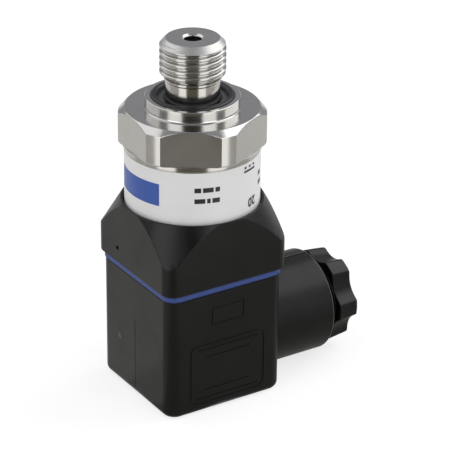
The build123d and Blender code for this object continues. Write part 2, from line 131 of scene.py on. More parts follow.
# Roundings of the turned and moulded edges, and how much of a run they and the points beside them may take
STEEL_ROUNDING = 0.06 * MM
CONE_ROUNDING = 0.15 * MM
OUTER_ROUNDING = 0.12 * MM
PLASTIC_ROUNDING = 0.1 * MM
ROUNDING_SHARE = 0.4
HOLD_SHARE = 0.1
HOLD_REACH = 0.5

# Fineness of the meshes: steps along a run or round an axis, and places beside the hexagon's edges
STEEL_ARC_STEPS = 4
PLASTIC_ARC_STEPS = 5
THREAD_STEPS = 110
CHAMFER_STEPS = 22
HEX_FLAT_STEPS = 12
HEX_SIDE_STEPS = 26
HEX_EDGE_HOLD = 0.05 * MM
HEX_EDGE_HOLDS = (-2.5, -1.0, 1.0, 2.5)
NUT_LOBE_STEPS = 30
FLAT_TOLERANCE = 0.02 * MM
SMALLEST_RADIUS = 0.001 * MM

# CAD copies: how near points are merged, how flat faces are joined, and how edges are rounded
MERGE_DISTANCE = 0.001 * MM
FLAT_ANGLE = radians(0.4)
SHARP_ANGLE = radians(30)
BASE_SHARP_ANGLE = radians(20)
EDGE_SEGMENTS = 2
FLAT_FACE_WEIGHT = 100
PLUG_EDGE = 0.08 * MM
BASE_EDGE = 0.12 * MM
GASKET_EDGE = 0.15 * MM
LABEL_EDGE = 0.03 * MM

# Painted highlight along the rounded rim of the gland's mouth: a pale round bead that is nearly all sunk
# in the rim
RIM_BEARING = radians(50)
RIM_RADIUS = 0.2 * MM
RIM_PROUD = 0.04 * MM
RIM_STEPS = 120
RIM_SEGMENTS = 12

# Marks of the mould on the plug: a ridge up its side, the gland's parting line with a dark strip beside it
# that is a painted shadow, and an ejector's mark
MARK_ROOT = 0.2 * MM
MARK_EDGE = 0.05 * MM
RIDGE_WIDTH = 0.16 * MM
RIDGE_PROUD = 0.05 * MM
RIDGE_LOW = 1.6 * MM
RIDGE_HIGH = 17.2 * MM
PARTING_END = 27.9 * MM
PARTING_STEP_WIDTH = 1.2 * MM
PARTING_STEP_PROUD = 0.14 * MM
PARTING_SHADOW_WIDTH = 0.22 * MM
PARTING_SHADOW_PROUD = 0.02 * MM
EJECTOR_PLACE = (5.9 * MM, 10.9 * MM)
EJECTOR_RADIUS = 0.6 * MM
EJECTOR_PROUD = 0.1 * MM
EJECTOR_SEGMENTS = 20
EJECTOR_RINGS = 12

# Print on the label: plain blocks and bars. Places are degrees round the axis, and heights up it
PRINT_LIFT = 0.015 * MM
PRINT_STEP = 2
BLUE_BLOCK = (-205, -150, 44.95 * MM, 49.65 * MM)
BAR_HEIGHT = 1.0 * MM
BAR_ROWS = (
    (49.0 * MM, ((-120.0, -114.5), (-113.0, -104.0), (-102.5, -98.5))),
    (46.7 * MM, ((-120.0, -111.0), (-109.5, -106.5), (-105.0, -98.5))),
    (48.6 * MM, ((-50.0, -44.0),)),
    (46.6 * MM, ((-50.0, -46.0), (-45.0, -42.0))),
)
SIGN_BAR = (-74, -58.5, 50.7 * MM, 51.15 * MM)
SIGN_DOTS = ((-73.4, -70.8), (-67.7, -65.1), (-62.0, -59.4))
SIGN_DOTS_LEVEL = (51.5 * MM, 52.0 * MM)
NUMBER = "20"
NUMBER_BOLDNESS = 0.1 * MM
NUMBER_BEARING = -62.5
NUMBER_HEIGHT = 43.9 * MM
NUMBER_SIZE = 2.6 * MM

# Grain of the finishes. Patches are counted per metre, and a swing is how far they change the roughness
PLASTIC_GRAIN = 0.12 * MM
PLASTIC_GRAIN_DEPTH = 0.004 * MM
PLASTIC_PATCHES = 150.0
PLASTIC_SWING = 0.4
RUBBER_GRAIN = 0.125 * MM
RUBBER_GRAIN_DEPTH = 0.002 * MM
RUBBER_PATCHES = 300.0
RUBBER_PATCH_AMOUNT = 0.3
METAL_GRAIN = 0.25 * MM
METAL_GRAIN_DEPTH = 0.0008 * MM
METAL_PATCHES = 220.0
METAL_PATCH_AMOUNT = 0.15
METAL_SWING = 0.5
RING_SPACING = 0.09 * MM
RING_DEPTH = 0.0015 * MM
FILM_GRAIN_DEPTH = 0.001 * MM

# Where the two rubber rings change colour, as distances from the gasket's middle and from the axis. Past
# the first, the gasket's upper and lower edges get a painted shade. Inside the second, the seal's flat is
# a paler grey, partly a lighter ground finish and partly a painted reflection
GASKET_SHADE_START = 0.25 * MM
GASKET_SHADE_BLEND = 0.5 * MM
SEAL_LIP_RADIUS = 7.2 * MM
SEAL_LIP_BLEND = 0.1 * MM

# Floor and world
WORLD_COLOR = (0.34, 0.345, 0.37)
FLOOR_HALF = 3000 * MM
FLOOR_COLOR = (0.93, 0.93, 0.93)
FLOOR_ROUGHNESS = 0.9
FLOOR_WHITE_SHARE = 0.6
FLOOR_WHITE = 1.22

# Lamps. Azimuths and elevations are in degrees, and azimuths count from the camera's, to the right
LAMP_DISTANCE = 600 * MM
LAMP_AIM = (5 * MM, 0, 40 * MM)
LAMPS = (
    ("left_box", -42, 30, (340 * MM, 500 * MM), 0.85),
    ("right_box", 42, 30, (340 * MM, 500 * MM), 0.9),
    ("left_side_box", -114, 42, (620 * MM, 500 * MM), 0.85),
    ("right_side_box", 114, 42, (620 * MM, 500 * MM), 1.7),
)

# Cards on the floor in two rings round the object, and the dark screen behind the camera
CARD_HEIGHT = 0.3 * MM
CARD_STEPS = 6
CARD_NEAR = 14.0 * MM
CARD_MIDDLE = 100.0 * MM
CARD_FAR = 600.0 * MM
NEAR_CARDS = (
    ("near_front_card", -35, 28, (0.30, 0.295, 0.28)),
    ("near_right_card", 28, 120, (0.34, 0.335, 0.32)),
    ("near_left_card", -75, -35, (0.50, 0.49, 0.47)),
    ("near_back_card", 120, 285, (0.66, 0.655, 0.63)),
)
FAR_CARDS = (
    ("front_card", -25, 25, (0.122, 0.113, 0.082)),
    ("front_left_card", -55, -26, (1.35, 1.33, 1.28)),
    ("front_right_card", 26, 55, (1.35, 1.33, 1.28)),
    ("left_card", -105, -56, (0.48, 0.47, 0.44)),
    ("right_card", 56, 105, (0.47, 0.46, 0.43)),
    ("back_card", 106, 254, (0.75, 0.74, 0.72)),
)
SCREEN_DISTANCE = 560.0 * MM
SCREEN_SPAN = 24
SCREEN_LOW = 3
SCREEN_HIGH = 52
SCREEN_COLOR = (0.022, 0.021, 0.018)


class Wiring:
    """Adds nodes to one tree and links them, so that a rule reads as a few lines."""

    def __init__(self, tree):
        self.tree = tree

    def node(self, kind, **settings):
        node = self.tree.nodes.new(kind)
        for name, value in settings.items():
            setattr(node, name, value)
        return node

    def feed(self, socket, value):
        if isinstance(value, bpy.types.NodeSocket):
            self.tree.links.new(value, socket)
        else:
            socket.default_value = value

    def math(self, operation, *values, clamp=False):
        node = self.node("ShaderNodeMath", operation=operation, use_clamp=clamp)
        for socket, value in zip(node.inputs, values):
            self.feed(socket, value)
        return node.outputs[0]

    def length(self, x, y):
        squares = self.math("ADD", self.math("MULTIPLY", x, x), self.math("MULTIPLY", y, y))
        return self.math("SQRT", squares)

    def parts(self, vector):
        node = self.node("ShaderNodeSeparateXYZ")
        self.feed(node.inputs[0], vector)
        return node.outputs

    def vector(self, x, y, z):
        node = self.node("ShaderNodeCombineXYZ")
        for socket, value in zip(node.inputs, (x, y, z)):
            self.feed(socket, value)
        return node.outputs[0]

    def place(self):
        """The place of a point on the surface, in the object's own coordinates."""
        return self.node("ShaderNodeTexCoord").outputs["Object"]

    def group_ends(self):
        """The values that a group is given, and the results that it puts out."""
        return self.node("NodeGroupInput").outputs, self.node("NodeGroupOutput").inputs


def add_object(name, data):
    added = bpy.data.objects.new(name, data)
    bpy.context.scene.collection.objects.link(added)
    return added


def new_mesh(name, points, faces):
    mesh = bpy.data.meshes.new(name)
    mesh.from_pydata(points, [], faces)
    return mesh


def smooth(mesh):
    mesh.polygons.foreach_set("use_smooth", [True] * len(mesh.polygons))


def bake(piece):
    """Replaces a piece's live modifiers by the mesh that they make."""
    evaluated = piece.evaluated_get(bpy.context.evaluated_depsgraph_get())
    mesh = bpy.data.meshes.new_from_object(evaluated)
    piece.modifiers.clear()
    piece.data = mesh
    mesh.name = piece.name


# Profiles and turned pieces

def rounded(corners, arc_steps):
    """A closed profile from (radius, height, rounding, steps) corners.

    Each corner is turned into a small arc with a point held close on either side of it, and the run
    that follows it is divided into the given number of steps.
    """
    count = len(corners)
    arcs = []
    for index, (radius, height, rounding, steps) in enumerate(corners):
        here = Vector((radius, height))
        before = Vector(corners[index - 1][:2]) - here
        after = Vector(corners[(index + 1) % count][:2]) - here
        reach = min(rounding, ROUNDING_SHARE * before.length, ROUNDING_SHARE * after.length)
        hold = min(HOLD_REACH * reach, HOLD_SHARE * before.length, HOLD_SHARE * after.length)
        start = here + before.normalized() * reach
        end = here + after.normalized() * reach
        arc = [start + before.normalized() * hold]
        for step in range(arc_steps + 1):
            t = step / arc_steps
            arc.append(start * (1 - t) ** 2 + here * 2 * t * (1 - t) + end * t ** 2)
        arc.append(end + after.normalized() * hold)
        arcs.append((arc, steps))
    profile = []
    for index, (arc, steps) in enumerate(arcs):
        target = arcs[(index + 1) % count][0][0]
        profile.extend(arc)
        profile.extend(arc[-1].lerp(target, step / steps) for step in range(1, steps))
    return profile


def turn(name, column, angles):
    """A ring-shaped solid about Z.

    The function column gives a closed profile of (radius, height) points at an angle, and all the
    profiles have as many points.
    """
    columns = [column(angle) for angle in angles]
    rows = len(columns[0])
    points = []
    for angle, places in zip(angles, columns):
        points.extend((radius * cos(angle), radius * sin(angle), height) for radius, height in places)
    faces = []
    for index in range(len(columns)):
        here = index * rows
        beside = (index + 1) % len(columns) * rows
        for row in range(rows):
            above = (row + 1) % rows
            faces.append((here + row, beside + row, beside + above, here + above))
    mesh = new_mesh(name, points, faces)
    work = bmesh.new()
    work.from_mesh(mesh)
    bmesh.ops.recalc_face_normals(work, faces=work.faces)
    work.to_mesh(mesh)
    work.free()
    smooth(mesh)
    return add_object(name, mesh)


def off_middle(angle, sides, clocking):
    """An angle, counted from the middle of the side or lobe that it falls on."""
    sector = 2 * pi / sides
    return (angle - clocking + sector / 2) % sector - sector / 2


def flat_reach(angle):
    """Distance from the axis to the hexagon's flat, at an angle."""
    return HEX_FLATS / 2 / cos(off_middle(angle, HEX_SIDES, HEX_CLOCKING))


def hex_angles():
    """Angles round the hexagon, with some set close beside each edge where a flat meets the round bar."""
    sector = 2 * pi / HEX_SIDES
    half_flat = acos(HEX_FLATS / 2 / HEX_BAR_RADIUS)
    close = HEX_EDGE_HOLD / HEX_BAR_RADIUS
    marks = [0.0, sector]
    for edge in (half_flat, sector - half_flat):
        marks.extend(edge + hold * close for hold in HEX_EDGE_HOLDS)
    marks.sort()
    filled = []
    for low, high in zip(marks, marks[1:]):
        steps = max(1, round((high - low) / (sector / HEX_SIDE_STEPS)))
        filled.extend(low + (high - low) * step / steps for step in range(steps))
    return [HEX_CLOCKING + side * sector + mark for side in range(HEX_SIDES) for mark in filled]


def even_angles(count, start=0.0):
    return [start + 2 * pi * step / count for step in range(count)]


def smaller(a, b, blend):
    """The smaller of two values, with the corner between them rounded over the blend."""
    share = min(1.0, max(0.0, 0.5 + 0.5 * (b - a) / blend))
    return b + (a - b) * share - blend * share * (1 - share)


def scallop_reach(angle):
    """Distance from the gland's axis to the nut's rim, which is a circle cut by wide round scallops."""
    bearing = off_middle(angle, NUT_LOBES, NUT_CLOCKING)
    centre = NUT_VALLEY_RADIUS + NUT_SCALLOP_RADIUS
    side = centre * sin(bearing)
    if abs(side) >= NUT_SCALLOP_RADIUS:
        return NUT_LOBE_RADIUS
    scallop = centre * cos(bearing) - sqrt(NUT_SCALLOP_RADIUS ** 2 - side ** 2)
    return smaller(NUT_LOBE_RADIUS, scallop, NUT_SCALLOP_BLEND)


# Geometry nodes

def thread_tree():
    """A tree that cuts a right-handed thread into a turned piece's skin, between two heights."""
    tree = bpy.data.node_groups.new("cut_thread", "GeometryNodeTree")
    tree.is_modifier = True
    sockets = tree.interface
    sockets.new_socket("Geometry", in_out="INPUT", socket_type="NodeSocketGeometry")
    for name in ("Outer Radius", "Depth", "Pitch", "Crest Share", "Root Share", "Start", "End", "Fade"):
        sockets.new_socket(name, in_out="INPUT", socket_type="NodeSocketFloat")
    sockets.new_socket("Material", in_out="INPUT", socket_type="NodeSocketMaterial")
    sockets.new_socket("Geometry", in_out="OUTPUT", socket_type="NodeSocketGeometry")
    wiring = Wiring(tree)
    given, result = wiring.group_ends()
    math = wiring.math

    x, y, z = wiring.parts(wiring.node("GeometryNodeInputPosition").outputs[0])
    radius = wiring.length(x, y)
    turns = math("DIVIDE", math("ARCTAN2", y, x), 2 * pi)
    phase = math("SUBTRACT", math("DIVIDE", z, given["Pitch"]), turns)
    off_crest = math("MULTIPLY", math("PINGPONG", phase, 0.5), 2.0)
    flank = math("SUBTRACT", math("SUBTRACT", 1.0, given["Crest Share"]), given["Root Share"])
    share = math("DIVIDE", math("SUBTRACT", off_crest, given["Crest Share"]), flank, clamp=True)
    steepness = math("SUBTRACT", 3.0, math("MULTIPLY", share, 2.0))
    groove = math("MULTIPLY", math("MULTIPLY", share, share), steepness)
    rise = math("DIVIDE", math("SUBTRACT", z, given["Start"]), given["Fade"], clamp=True)
    fall = math("DIVIDE", math("SUBTRACT", given["End"], z), given["Fade"], clamp=True)
    fade = math("MULTIPLY", rise, fall)
    cut = math("MULTIPLY", math("MULTIPLY", groove, fade), given["Depth"])
    lowered = math("MINIMUM", radius, math("SUBTRACT", given["Outer Radius"], cut))
    outside = math("GREATER_THAN", radius, math("SUBTRACT", given["Outer Radius"], given["Depth"]))
    chosen = math("MULTIPLY", outside, math("GREATER_THAN", fade, 0.0))
    scale = math("DIVIDE", lowered, math("MAXIMUM", radius, SMALLEST_RADIUS))
    moved = wiring.vector(math("MULTIPLY", x, scale), math("MULTIPLY", y, scale), z)

    place = wiring.node("GeometryNodeSetPosition")
    wiring.feed(place.inputs["Geometry"], given["Geometry"])
    wiring.feed(place.inputs["Selection"], chosen)
    wiring.feed(place.inputs["Position"], moved)
    realize = wiring.node("GeometryNodeRealizeInstances")
    wiring.feed(realize.inputs["Geometry"], place.outputs["Geometry"])
    paint = wiring.node("GeometryNodeSetMaterial")
    wiring.feed(paint.inputs["Geometry"], realize.outputs["Geometry"])
    wiring.feed(paint.inputs["Material"], given["Material"])
    wiring.feed(result["Geometry"], paint.outputs["Geometry"])
    return tree


def run_tree(piece, tree, **inputs):
    """Runs a geometry tree on a piece and keeps the mesh that it makes."""
    modifier = piece.modifiers.new(tree.name, "NODES")
    modifier.node_group = tree
    identifiers = {
        item.name: item.identifier
        for item in tree.interface.items_tree
        if item.item_type == "SOCKET" and item.in_out == "INPUT"
    }
    for name, value in inputs.items():
        modifier[identifiers[name.replace("_", " ")]] = value
    piece.update_tag()
    bpy.context.view_layer.update()
    bake(piece)


# Materials

def new_material(name):
    material = bpy.data.materials.new(name)
    material.use_nodes = True
    return material, Wiring(material.node_tree), material.node_tree.nodes["Principled BSDF"]


def grain_group():
    """A shader group: a fine moulded grain as a height, and wide weak patches as a value about zero."""
    tree = bpy.data.node_groups.new("fine_grain", "ShaderNodeTree")
    for name in ("Scale", "Patch Scale", "Patch Amount"):
        tree.interface.new_socket(name, in_out="INPUT", socket_type="NodeSocketFloat")
    for name in ("Height", "Patch"):
        tree.interface.new_socket(name, in_out="OUTPUT", socket_type="NodeSocketFloat")
    wiring = Wiring(tree)
    given, result = wiring.group_ends()
    where = wiring.place()
    fine = wiring.node("ShaderNodeTexNoise")
    fine.inputs["Detail"].default_value = 3.0
    wiring.feed(fine.inputs["Vector"], where)
    wiring.feed(fine.inputs["Scale"], given["Scale"])
    wide = wiring.node("ShaderNodeTexNoise")
    wide.inputs["Detail"].default_value = 2.0
    wiring.feed(wide.inputs["Vector"], where)
    wiring.feed(wide.inputs["Scale"], given["Patch Scale"])
    about_zero = wiring.math("SUBTRACT", wide.outputs["Fac"], 0.5)
    wiring.feed(result["Height"], fine.outputs["Fac"])
    wiring.feed(result["Patch"], wiring.math("MULTIPLY", about_zero, given["Patch Amount"]))
    return tree


def ring_group():
    """A shader group: the fine rings that a turning tool leaves round the sensor's axis."""
    tree = bpy.data.node_groups.new("turned_rings", "ShaderNodeTree")
    tree.interface.new_socket("Spacing", in_out="INPUT", socket_type="NodeSocketFloat")
    tree.interface.new_socket("Height", in_out="OUTPUT", socket_type="NodeSocketFloat")
    wiring = Wiring(tree)
    given, result = wiring.group_ends()
    x, y, z = wiring.parts(wiring.place())
    along = wiring.math("DIVIDE", wiring.math("ADD", wiring.length(x, y), z), given["Spacing"])
    rings = wiring.node("ShaderNodeTexNoise", noise_dimensions="1D")
    rings.inputs["Scale"].default_value = 1.0
    rings.inputs["Detail"].default_value = 2.0
    wiring.feed(rings.inputs["W"], along)
    wiring.feed(result["Height"], rings.outputs["Fac"])
    return tree


GRAIN = grain_group()
RINGS = ring_group()


def use_group(wiring, tree, **values):
    node = wiring.node("ShaderNodeGroup", node_tree=tree)
    for name, value in values.items():
        node.inputs[name.replace("_", " ")].default_value = value
    return node.outputs


def bump(wiring, shader, height, depth):
    node = wiring.node("ShaderNodeBump")
    node.inputs["Strength"].default_value = 1.0
    node.inputs["Distance"].default_value = depth
    wiring.feed(node.inputs["Height"], height)
    wiring.feed(shader.inputs["Normal"], node.outputs["Normal"])


def tinted(wiring, color, patch):
    """A colour that the patch value makes lighter and darker."""
    mix = wiring.node("ShaderNodeMix", data_type="RGBA", blend_type="MULTIPLY")
    mix.inputs["Factor"].default_value = 1.0
    mix.inputs["A"].default_value = (*color, 1.0)
    level = wiring.math("ADD", 1.0, patch)
    wiring.feed(mix.inputs["B"], wiring.vector(level, level, level))
    return mix.outputs["Result"]


def varied(wiring, roughness, patch, swing):
    """A roughness that the patch value raises and lowers."""
    return wiring.math("ADD", roughness, wiring.math("MULTIPLY", patch, swing))


def moulded(name, color, roughness, grain_depth=PLASTIC_GRAIN_DEPTH, patch=0.25, gloss=0.5):
    """A moulded plastic or rubber with a fine grain."""
    material, wiring, shader = new_material(name)
    shader.inputs["Specular IOR Level"].default_value = gloss
    grain = use_group(
        wiring, GRAIN, Scale=1 / PLASTIC_GRAIN, Patch_Scale=PLASTIC_PATCHES, Patch_Amount=patch
    )
    wiring.feed(shader.inputs["Base Color"], tinted(wiring, color, grain["Patch"]))
    wiring.feed(shader.inputs["Roughness"], varied(wiring, roughness, grain["Patch"], PLASTIC_SWING))
    bump(wiring, shader, grain["Height"], grain_depth)
    return material


def from_axis(wiring):
    """Distance from the sensor's axis."""
    x, y, _ = wiring.parts(wiring.place())
    return wiring.length(x, y)


def from_middle(wiring):
    """Distance up or down from the gasket's middle."""
    low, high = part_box("profile_gasket")
    z = wiring.parts(wiring.place())[2]
    return wiring.math("ABSOLUTE", wiring.math("SUBTRACT", z, (low.z + high.z) / 2))


def rubber_with_painted_light(name, color, edge_color, roughness, distance, start, blend):
    """A rubber ring whose colour goes over to another one past a distance, where its edge begins. On the
    gasket the second colour is a painted shade on its edges; on the seal the first colour, its flat's
    paler grey, is partly a painted reflection.
    """
    material, wiring, shader = new_material(name)
    grain = use_group(
        wiring, GRAIN,
        Scale=1 / RUBBER_GRAIN, Patch_Scale=RUBBER_PATCHES, Patch_Amount=RUBBER_PATCH_AMOUNT,
    )
    # Share of the second colour: painted shade on the gasket's edges, and the black lip beside the seal's
    # paler flat
    edge = wiring.math("DIVIDE", wiring.math("SUBTRACT", distance(wiring), start), blend, clamp=True)
    mix = wiring.node("ShaderNodeMix", data_type="RGBA")
    wiring.feed(mix.inputs["Factor"], edge)
    wiring.feed(mix.inputs["A"], tinted(wiring, color, grain["Patch"]))
    mix.inputs["B"].default_value = (*edge_color, 1.0)
    wiring.feed(shader.inputs["Base Color"], mix.outputs["Result"])
    shader.inputs["Roughness"].default_value = roughness
    bump(wiring, shader, grain["Height"], RUBBER_GRAIN_DEPTH)
    return material


def metal(name, color, roughness, turned=False):
    """A metal with the fine rings of turning, or a plain one with a fine grain."""
    material, wiring, shader = new_material(name)
    shader.inputs["Metallic"].default_value = 1.0
    grain = use_group(
        wiring, GRAIN,
        Scale=1 / METAL_GRAIN, Patch_Scale=METAL_PATCHES, Patch_Amount=METAL_PATCH_AMOUNT,
    )
    wiring.feed(shader.inputs["Base Color"], tinted(wiring, color, grain["Patch"]))
    wiring.feed(shader.inputs["Roughness"], varied(wiring, roughness, grain["Patch"], METAL_SWING))
    if turned:
        bump(wiring, shader, use_group(wiring, RINGS, Spacing=RING_SPACING)["Height"], RING_DEPTH)
    else:
        bump(wiring, shader, grain["Height"], METAL_GRAIN_DEPTH)
    return material


STEEL_COLOR = (0.575, 0.565, 0.545)
TURNED_STEEL = metal("turned_steel", STEEL_COLOR, 0.165, turned=True)
FACED_STEEL = metal("faced_steel", STEEL_COLOR, 0.38, turned=True)
MILLED_STEEL = metal("milled_steel", STEEL_COLOR, 0.34)
BLACK_PLASTIC = moulded("black_plastic", (0.0045, 0.0044, 0.0041), 0.34, patch=0.6, gloss=0.34)
# Paler plastic for the ring on the gland's rim: a painted highlight
RIM_HIGHLIGHT_PLASTIC = moulded("painted_highlight_plastic", (0.11, 0.11, 0.11), 0.3, patch=0.6)
PALE_PLASTIC = moulded("pale_plastic", (0.05, 0.05, 0.05), 0.35, patch=0.9)
# Near-black plastic for the strip beside the gland's parting line: a painted shadow
PAINTED_SHADOW_PLASTIC = moulded("painted_shadow_plastic", (0.001, 0.001, 0.001), 0.9)
BLACK_RUBBER = moulded("black_rubber", (0.016, 0.016, 0.017), 0.36)
# The gasket's darker top and bottom edges are painted shade, not a second colour of the rubber
BLUE_RUBBER_PAINTED_SHADE = rubber_with_painted_light(
    "blue_rubber", (0.028, 0.068, 0.255), (0.005, 0.011, 0.045), 0.5,
    from_middle, GASKET_SHADE_START, GASKET_SHADE_BLEND,
)
# The seal's flat is a paler grey than its black lip: partly a lighter ground finish, partly a painted
# reflection
SEAL_RUBBER = rubber_with_painted_light(
    "seal_rubber", (0.085, 0.086, 0.092), (0.006, 0.006, 0.006), 0.36,
    from_axis, SEAL_LIP_RADIUS, SEAL_LIP_BLEND,
)
LABEL_FILM = moulded("label_film", (0.765, 0.76, 0.74), 0.38, grain_depth=FILM_GRAIN_DEPTH, patch=0.03)
BLUE_INK = moulded("blue_ink", (0.03, 0.09, 0.37), 0.38, patch=0.05)
BLACK_INK = moulded("black_ink", (0.02, 0.02, 0.02), 0.4, patch=0.05)
ZINC_STEEL = metal("zinc_steel", (0.60, 0.61, 0.63), 0.3)
TINNED_BRASS = metal("tinned_brass", (0.72, 0.72, 0.70), 0.25)
PLAIN_BRASS = metal("plain_brass", (0.78, 0.60, 0.30), 0.28)
GOLD = metal("gold", (0.95, 0.72, 0.32), 0.2)
BOARD_GREEN = moulded("board_green", (0.03, 0.16, 0.06), 0.35)
CHIP_BLACK = moulded("chip_black", (0.02, 0.02, 0.02), 0.5)
CERAMIC = moulded("ceramic", (0.55, 0.42, 0.28), 0.5)
BRIDGE_FILM = moulded("bridge_film", (0.70, 0.62, 0.42), 0.35)

CAD_MATERIALS = {
    BLACK_PLASTIC: ["contact_insert"],
    BLACK_RUBBER: ["cable_seal", "o_ring", "screw_seal"],
    TURNED_STEEL: ["case_tube", "measuring_cell"],
    ZINC_STEEL: ["fixing_screw", "terminal_screws", "thrust_washer"],
    TINNED_BRASS: [
        "blade_1", "blade_2", "blade_3", "ground_blade",
        "socket_contact_1", "socket_contact_2", "socket_contact_3", "ground_contact",
    ],
    PLAIN_BRASS: ["threaded_insert"],
    GOLD: ["bridge_wires"],
    BOARD_GREEN: ["circuit_board"],
    CHIP_BLACK: ["signal_chip"],
    CERAMIC: ["capacitors"],
    BRIDGE_FILM: ["strain_bridge"],
}


# Process connection

def make_process_connection(threads):
    """The turned and milled steel body: shoulder, hexagon, collar with its seal groove, and stud."""
    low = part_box("process_connection")[0].z
    cell_top = low + CELL_SPACE_HEIGHT
    seat_top = cell_top + CELL_SEAT_DEPTH
    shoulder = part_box("case_tube")[1].z
    hex_low = shoulder + SHOULDER_HEIGHT
    hex_high = hex_low + HEX_HEIGHT
    collar = hex_high + COLLAR_HEIGHT
    groove = collar - SEAL_GROOVE_DEPTH
    neck_top = collar + NECK_LENGTH
    bead_top = neck_top - NECK_BEAD_DROP
    bead_low = bead_top - NECK_BEAD_HEIGHT
    thread_low = neck_top + THREAD_RUNOUT
    top = collar + STUD_LENGTH
    cone_run = HEX_BAR_RADIUS - HEX_TOP_RADIUS
    soft = STEEL_ROUNDING
    crisp = STEEL_ROUNDING / 2

    def column(angle):
        reach = min(HEX_BAR_RADIUS, flat_reach(angle))
        cone_height = hex_high - HEX_TOP_CHAMFER * (reach - HEX_TOP_RADIUS) / cone_run
        break_size = max(HEX_EDGE_BREAK, reach - HEX_BAR_RADIUS + HEX_BOTTOM_CHAMFER)
        return rounded([
            (CELL_SPACE_RADIUS, low, soft, 1),
            (SPIGOT_RADIUS, low, soft, 1),
            (SPIGOT_RADIUS, shoulder, soft, 1),
            (SHOULDER_RADIUS, shoulder, OUTER_ROUNDING, 2),
            (SHOULDER_RADIUS, hex_low, soft, 2),
            (reach - break_size, hex_low, crisp, 2),
            (reach, hex_low + break_size, crisp, HEX_FLAT_STEPS),
            (reach, cone_height, CONE_ROUNDING, 3),
            (HEX_TOP_RADIUS, hex_high, soft, 6),
            (COLLAR_RADIUS + COLLAR_FILLET, hex_high, soft, 1),
            (COLLAR_RADIUS + COLLAR_FILLET_MIDDLE, hex_high + COLLAR_FILLET_MIDDLE, soft, 1),
            (COLLAR_RADIUS, hex_high + COLLAR_FILLET, soft, 2),
            (COLLAR_RADIUS, collar - COLLAR_CHAMFER, crisp, 1),
            (COLLAR_RADIUS - COLLAR_CHAMFER, collar, crisp, 2),
            (SEAL_GROOVE_RADIUS, collar, soft, 2),
            (SEAL_GROOVE_RADIUS, groove, soft, 2),
            (NECK_RADIUS, groove, soft, 4),
            (NECK_RADIUS, bead_low - NECK_BEAD_GROOVE, soft, 1),
            (NECK_RADIUS - NECK_GROOVE_DEPTH, bead_low - NECK_BEAD_GROOVE / 2, soft, 1),
            (NECK_BEAD_RADIUS, bead_low, crisp, 2),
            (NECK_BEAD_RADIUS, bead_top, crisp, 1),
            (NECK_RADIUS - NECK_GROOVE_DEPTH, bead_top + soft, soft, 1),
            (NECK_RADIUS - NECK_GROOVE_DEPTH, neck_top, soft, 2),
            (THREAD_RADIUS, thread_low, soft, THREAD_STEPS),
            (THREAD_RADIUS, top - STUD_CHAMFER, soft, CHAMFER_STEPS),
            (THREAD_RADIUS - STUD_CHAMFER, top, OUTER_ROUNDING, 4),
            (PORT_RADIUS + PORT_CHAMFER, top, soft, 1),
            (PORT_RADIUS, top - PORT_CHAMFER, soft, 4),
            (PORT_RADIUS, seat_top, soft, 2),
            (CELL_SEAT_RADIUS, seat_top, soft, 1),
            (CELL_SEAT_RADIUS, cell_top, soft, 1),
            (CELL_SPACE_RADIUS, cell_top, soft, 1),
        ], STEEL_ARC_STEPS)

    piece = turn("process_connection_turned", column, hex_angles())
    run_tree(
        piece, threads,
        Outer_Radius=THREAD_RADIUS, Depth=THREAD_DEPTH, Pitch=THREAD_PITCH,
        Crest_Share=THREAD_CREST, Root_Share=THREAD_ROOT,
        Start=thread_low - THREAD_RUNOUT, End=top, Fade=THREAD_FADE, Material=TURNED_STEEL,
    )
    finishes = [TURNED_STEEL, MILLED_STEEL, FACED_STEEL]
    piece.data.materials.clear()
    for finish in finishes:
        piece.data.materials.append(finish)
    for face in piece.data.polygons:
        height = face.center.z
        reach = face.center.xy.length
        if height > top - STUD_CHAMFER and reach > THREAD_RADIUS - STUD_CHAMFER:
            face.material_index = finishes.index(FACED_STEEL)
        if hex_low < height < hex_high and reach > HEX_TOP_RADIUS:
            if abs(reach - flat_reach(atan2(face.center.y, face.center.x))) < FLAT_TOLERANCE:
                face.material_index = finishes.index(MILLED_STEEL)
    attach(piece, "sensor")
    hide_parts("process_connection")


# Gland nut and the painted highlight on the gland's rim

def lay_on_gland(mesh):
    """Puts a mesh that was turned about Z onto the gland's axis."""
    mesh.transform(Matrix(((0, 0, 1, 0), (1, 0, 0, 0), (0, 1, 0, GLAND_HEIGHT), (0, 0, 0, 1))))


def make_gland_nut(threads):
    """The nut: a scalloped head with rounded ends, and a threaded hollow stem."""
    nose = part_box("gland_nut")[0].x
    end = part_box("gland_nut")[1].x
    head = end - NUT_HEAD_LENGTH
    soft = PLASTIC_ROUNDING

    def column(angle):
        rim = scallop_reach(angle)
        return rounded([
            (NUT_BORE_RADIUS, nose, soft, 2),
            (NUT_THREAD_RADIUS - NUT_NOSE_CHAMFER, nose, soft, 8),
            (NUT_THREAD_RADIUS, nose + NUT_NOSE_CHAMFER, soft, THREAD_STEPS),
            (NUT_THREAD_RADIUS, head, soft, 1),
            (rim, head, NUT_NEAR_ROUNDING, 6),
            (rim - NUT_HEAD_LENGTH * tan(NUT_DRAFT), end, NUT_FAR_ROUNDING, 2),
            (NUT_BORE_RADIUS + NUT_MOUTH_CHAMFER, end, soft, 2),
            (NUT_BORE_RADIUS, end - NUT_MOUTH_CHAMFER, soft, 8),
        ], PLASTIC_ARC_STEPS)

    piece = turn("gland_nut_moulded", column, even_angles(NUT_LOBE_STEPS * NUT_LOBES, NUT_CLOCKING))
    run_tree(
        piece, threads,
        Outer_Radius=NUT_THREAD_RADIUS, Depth=NUT_THREAD_DEPTH, Pitch=NUT_THREAD_PITCH,
        Crest_Share=NUT_THREAD_CREST, Root_Share=NUT_THREAD_ROOT,
        Start=nose, End=head, Fade=NUT_THREAD_FADE, Material=BLACK_PLASTIC,
    )
    lay_on_gland(piece.data)
    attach(piece, "nut")
    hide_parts("gland_nut")


